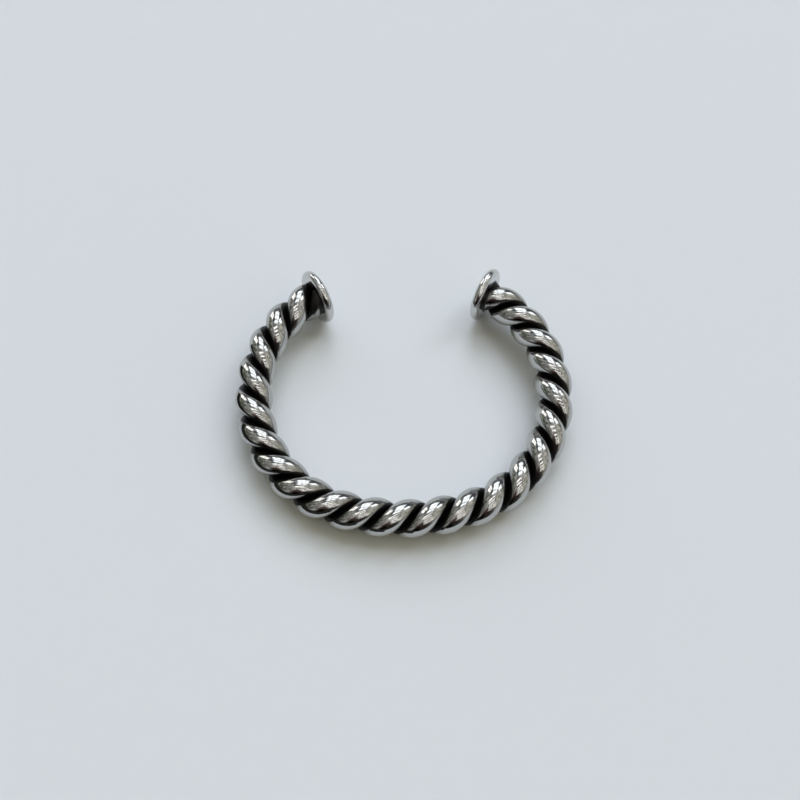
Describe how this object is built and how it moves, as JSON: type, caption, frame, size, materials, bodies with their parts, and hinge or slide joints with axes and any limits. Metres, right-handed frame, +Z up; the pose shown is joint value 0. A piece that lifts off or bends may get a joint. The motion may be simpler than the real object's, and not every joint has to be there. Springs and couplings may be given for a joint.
{
  "type": "twisted cuff bracelet",
  "caption": "Open cuff bracelet of thick twisted wires with a round disc closing each tip, lying on its side.",
  "frame": {"origin": "on the surface that the cuff lies on, below the middle of its bounding box", "axes": "+X across the cuff, left disc to right disc side; +Y from the back of the cuff to its opening; +Z up from the surface it lies on"},
  "size_m": [0.072, 0.0602, 0.0121],
  "materials": {
    "wire_steel": "mirror-polished stainless steel with fine wear scratches, blackened in the grooves of the twist",
    "disc_steel": "polished stainless steel rim and outer face, blackened on the side towards the twist"
  },
  "bodies": {
    "root": {"strand_a": "wire_steel", "strand_b": "wire_steel", "end_disc_left": "disc_steel", "end_disc_right": "disc_steel"}
  },
  "joints": []
}
